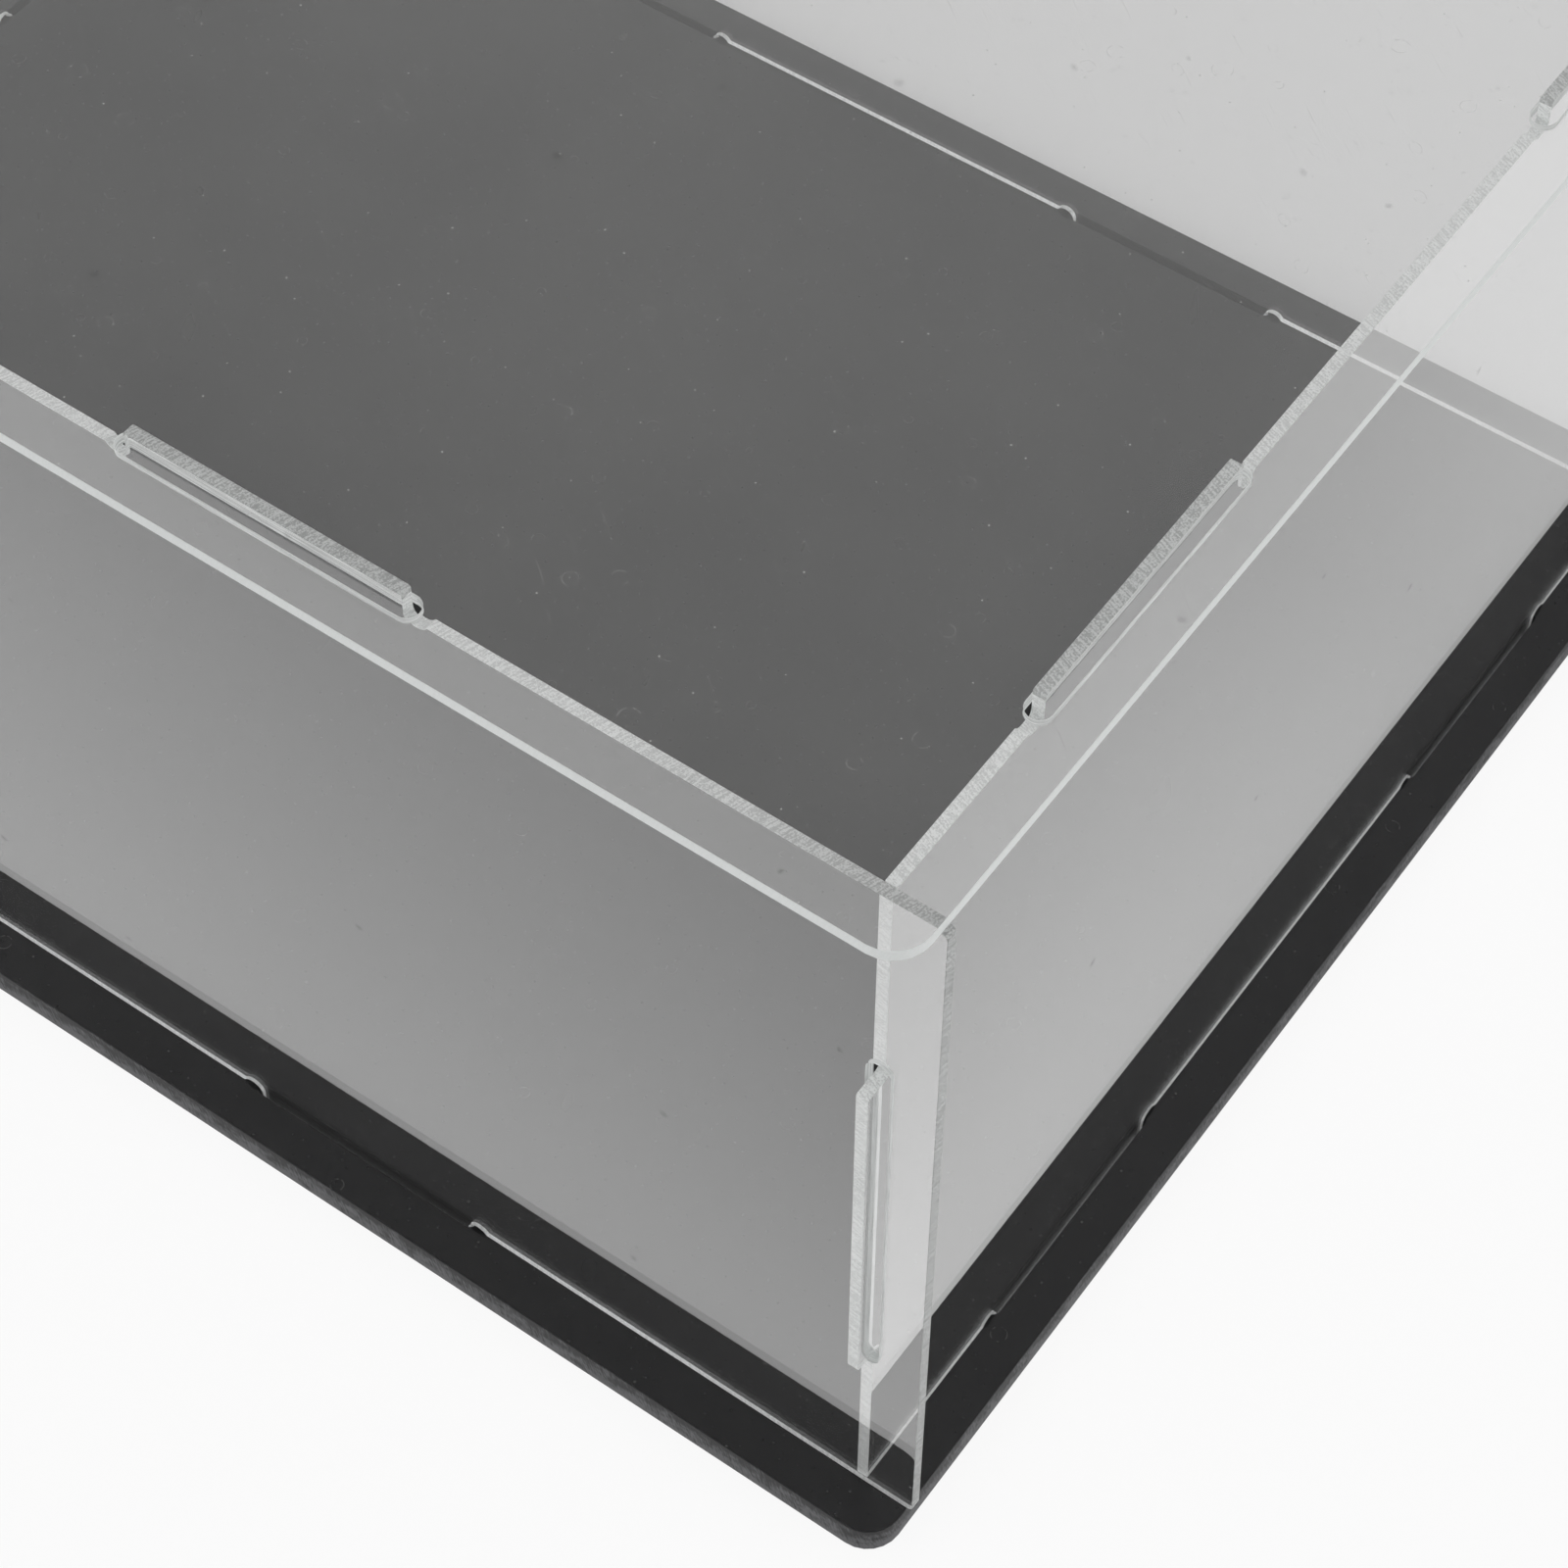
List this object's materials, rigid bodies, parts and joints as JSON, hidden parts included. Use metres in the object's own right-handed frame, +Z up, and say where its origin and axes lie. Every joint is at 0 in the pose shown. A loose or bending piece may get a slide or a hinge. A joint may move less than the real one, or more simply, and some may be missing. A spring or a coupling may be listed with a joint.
{
  "type": "model car display case",
  "caption": "Clear slot-together acrylic display box on a black base plate; the lid panel and the four-wall cover lift off.",
  "frame": {"origin": "middle of the base plate's underside, on the surface that the case stands on", "axes": "+Z up; +X to the right along the long front wall; -Y is the front"},
  "size_m": [0.352, 0.266, 0.1712],
  "materials": {
    "black_acrylic": "polished cast sheet, saw-cut edges",
    "clear_wall": "clear polished cast sheet, frosted cut edges",
    "clear_top": "clear polished cast sheet, frosted cut edges"
  },
  "bodies": {
    "base": {"base_plate": "black_acrylic"},
    "cover": {"front_panel": "clear_wall", "back_panel": "clear_wall", "left_panel": "clear_wall", "right_panel": "clear_wall"},
    "top": {"top_panel": "clear_top"}
  },
  "joints": [
    {"name": "cover_lift", "type": "slide", "parent": "base", "child": "cover", "axis": [0, 0, 1], "range_m": [0, 0.18]},
    {"name": "top_lift", "type": "slide", "parent": "cover", "child": "top", "axis": [0, 0, 1], "range_m": [0, 0.08]}
  ]
}
